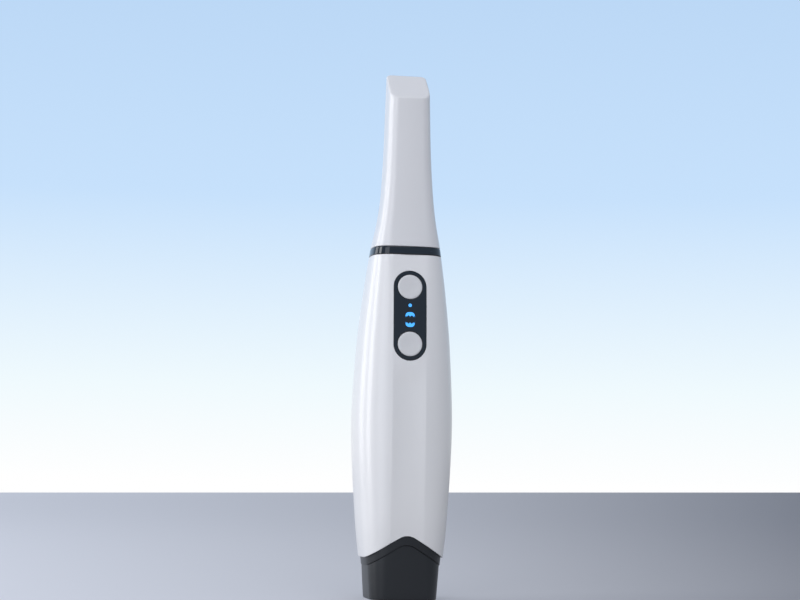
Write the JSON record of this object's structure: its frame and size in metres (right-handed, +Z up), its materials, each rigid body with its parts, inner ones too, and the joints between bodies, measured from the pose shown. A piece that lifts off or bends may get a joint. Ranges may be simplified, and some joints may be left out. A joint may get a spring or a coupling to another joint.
{
  "type": "intraoral scanner",
  "caption": "Upright dental scanning wand with a removable slanted tip, a black ring, an inlaid panel with press keys and a cable inlet in its flat tail.",
  "frame": {"origin": "centre of the cable inlet's mouth, in the flat end of the tail that the wand stands on", "axes": "+Z up the wand to the scanning tip, -Y the side with the buttons, +X to the right seen from that side"},
  "size_m": [0.0396, 0.0361, 0.2087],
  "materials": {
    "shell_white": "satin-gloss moulded white",
    "tip_white": "satin moulded white",
    "button_white": "fine matte off-white",
    "gloss_black": "high-gloss black",
    "satin_black": "satin moulded black",
    "front_mirror": "front-surface mirror",
    "window_glass": "coated flat glass",
    "lens_glass": "coated lens glass",
    "switch_black": "moulded black",
    "led_package": "moulded chip package",
    "circuit_board": "green solder mask",
    "screw_steel": "plain stainless steel",
    "bench_aluminium": "milled aluminium",
    "barrel_black": "black anodised",
    "shield_steel": "tinned sheet steel",
    "connector_white": "moulded cream",
    "seal_rubber": "moulded silicone rubber",
    "contact_brass": "gilded brass",
    "guide_blue": "lit clear light guide"
  },
  "bodies": {
    "handpiece": {"collar_ring": "gloss_black", "nose_tube": "satin_black", "nose_window": "window_glass", "body_sleeve": "shell_white", "button_panel": "gloss_black", "upper_switch": "switch_black", "lower_switch": "switch_black", "light_guide": "guide_blue", "indicator_leds": "led_package", "button_board": "circuit_board", "button_board_screws": "screw_steel", "optical_bench": "bench_aluminium", "bench_screws": "screw_steel", "projector_barrel": "barrel_black", "projector_lens": "lens_glass", "light_engine": "barrel_black", "heat_sink": "bench_aluminium", "camera_barrel_left": "barrel_black", "camera_lens_left": "lens_glass", "camera_board_left": "circuit_board", "camera_barrel_right": "barrel_black", "camera_lens_right": "lens_glass", "camera_board_right": "circuit_board", "main_board": "circuit_board", "main_board_screws": "screw_steel", "processor_shield": "shield_steel", "ribbon_connectors": "connector_white", "tail_cuff": "satin_black", "tail_gasket": "seal_rubber", "tail_cap": "satin_black", "tail_screws": "screw_steel", "inlet_socket": "switch_black", "inlet_contacts": "contact_brass"},
    "scanning_tip": {"tip_shell": "tip_white", "tip_mirror": "front_mirror"},
    "upper_key": {"upper_button": "button_white", "upper_plunger": "switch_black"},
    "lower_key": {"lower_button": "button_white", "lower_plunger": "switch_black"}
  },
  "joints": [
    {"name": "tip_pull_off", "type": "slide", "parent": "handpiece", "child": "scanning_tip", "axis": [0, 0, 1], "range_m": [0, 0.05]},
    {"name": "upper_key_press", "type": "slide", "parent": "handpiece", "child": "upper_key", "axis": [0, 0.9964, -0.0842], "range_m": [0, 0.0005], "stiffness_N_per_m": 1500},
    {"name": "lower_key_press", "type": "slide", "parent": "handpiece", "child": "lower_key", "axis": [0, 0.9964, -0.0842], "range_m": [0, 0.0005], "stiffness_N_per_m": 1500}
  ]
}
